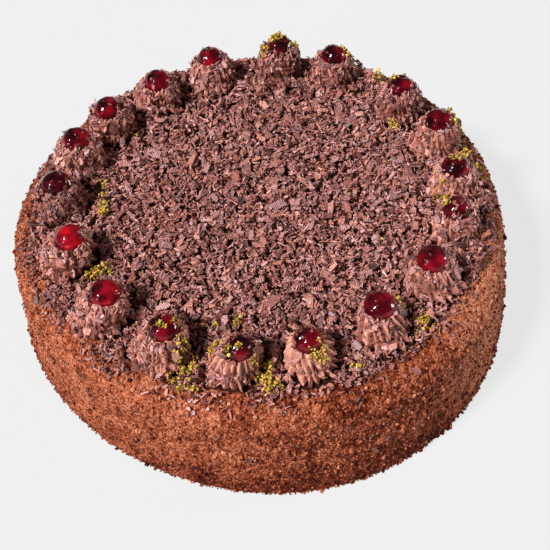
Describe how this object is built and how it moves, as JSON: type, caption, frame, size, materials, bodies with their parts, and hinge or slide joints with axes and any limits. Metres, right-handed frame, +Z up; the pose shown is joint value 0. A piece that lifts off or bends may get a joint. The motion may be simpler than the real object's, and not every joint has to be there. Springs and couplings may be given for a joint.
{
  "type": "chocolate cake",
  "caption": "Round chocolate cake with a crumb-coated side, a top covered in chocolate shavings, and a ring of piped cream rosettes with cherries around its edge.",
  "frame": {"origin": "centre of the cake's outline on its flat underside", "axes": "+Z up out of the decorated top; -Y towards the side seen nearest in the picture, +X to its right"},
  "size_m": [0.2782, 0.2822, 0.0863],
  "materials": {
    "crumb_coat": "dry, rough cake crumbs",
    "chocolate_shavings": "dull milk chocolate shavings",
    "chocolate_cream": "soft satin whipped chocolate cream",
    "cherry_flesh": "wet glossy dark red fruit"
  },
  "bodies": {
    "root": {"cake_body": "crumb_coat", "shavings_bed": "chocolate_shavings", "rosette_01": "chocolate_cream", "rosette_02": "chocolate_cream", "rosette_03": "chocolate_cream", "rosette_04": "chocolate_cream", "rosette_05": "chocolate_cream", "rosette_06": "chocolate_cream", "rosette_07": "chocolate_cream", "rosette_08": "chocolate_cream", "rosette_09": "chocolate_cream", "rosette_10": "chocolate_cream", "rosette_11": "chocolate_cream", "rosette_12": "chocolate_cream", "rosette_13": "chocolate_cream", "rosette_14": "chocolate_cream", "rosette_15": "chocolate_cream", "rosette_16": "chocolate_cream", "rosette_17": "chocolate_cream", "rosette_18": "chocolate_cream", "cherry_01": "cherry_flesh", "cherry_02": "cherry_flesh", "cherry_03": "cherry_flesh", "cherry_04": "cherry_flesh", "cherry_05": "cherry_flesh", "cherry_06": "cherry_flesh", "cherry_07": "cherry_flesh", "cherry_08": "cherry_flesh", "cherry_09": "cherry_flesh", "cherry_10": "cherry_flesh", "cherry_11": "cherry_flesh", "cherry_12": "cherry_flesh", "cherry_13": "cherry_flesh", "cherry_14": "cherry_flesh", "cherry_15": "cherry_flesh", "cherry_16": "cherry_flesh", "cherry_17": "cherry_flesh", "cherry_18": "cherry_flesh"}
  },
  "joints": []
}
